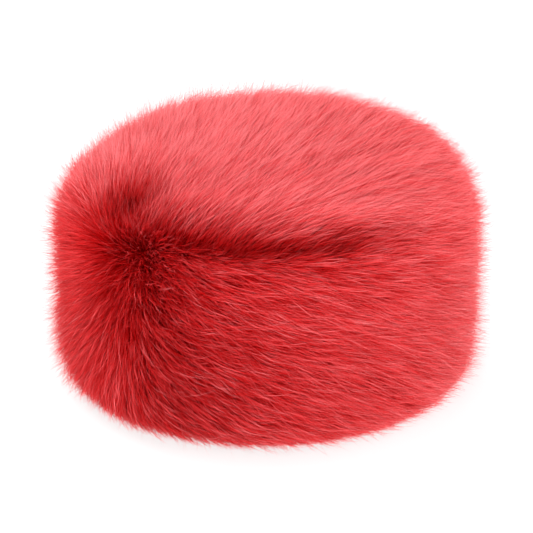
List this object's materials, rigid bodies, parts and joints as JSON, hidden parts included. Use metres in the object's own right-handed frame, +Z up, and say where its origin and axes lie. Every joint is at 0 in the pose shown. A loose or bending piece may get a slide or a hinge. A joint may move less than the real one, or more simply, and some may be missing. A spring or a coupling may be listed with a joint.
{
  "type": "faux fur toque",
  "caption": "Tall pillbox hat of deep combed pile on a cloth wall and a domed cloth tip, open below for the head.",
  "frame": {"origin": "on the surface the hat rests on, in the middle of the head opening", "axes": "+Z up through the middle of the crown, -Y to the front, +X to the hat's own left, which is the picture's right"},
  "size_m": [0.2455, 0.2637, 0.1377],
  "materials": {
    "pile": "soft acrylic pile with a low sheen",
    "cloth": "matte knitted backing cloth"
  },
  "bodies": {
    "root": {"side_wall": "cloth", "crown_tip": "cloth", "side_fur": "pile", "crown_fur": "pile"}
  },
  "joints": []
}
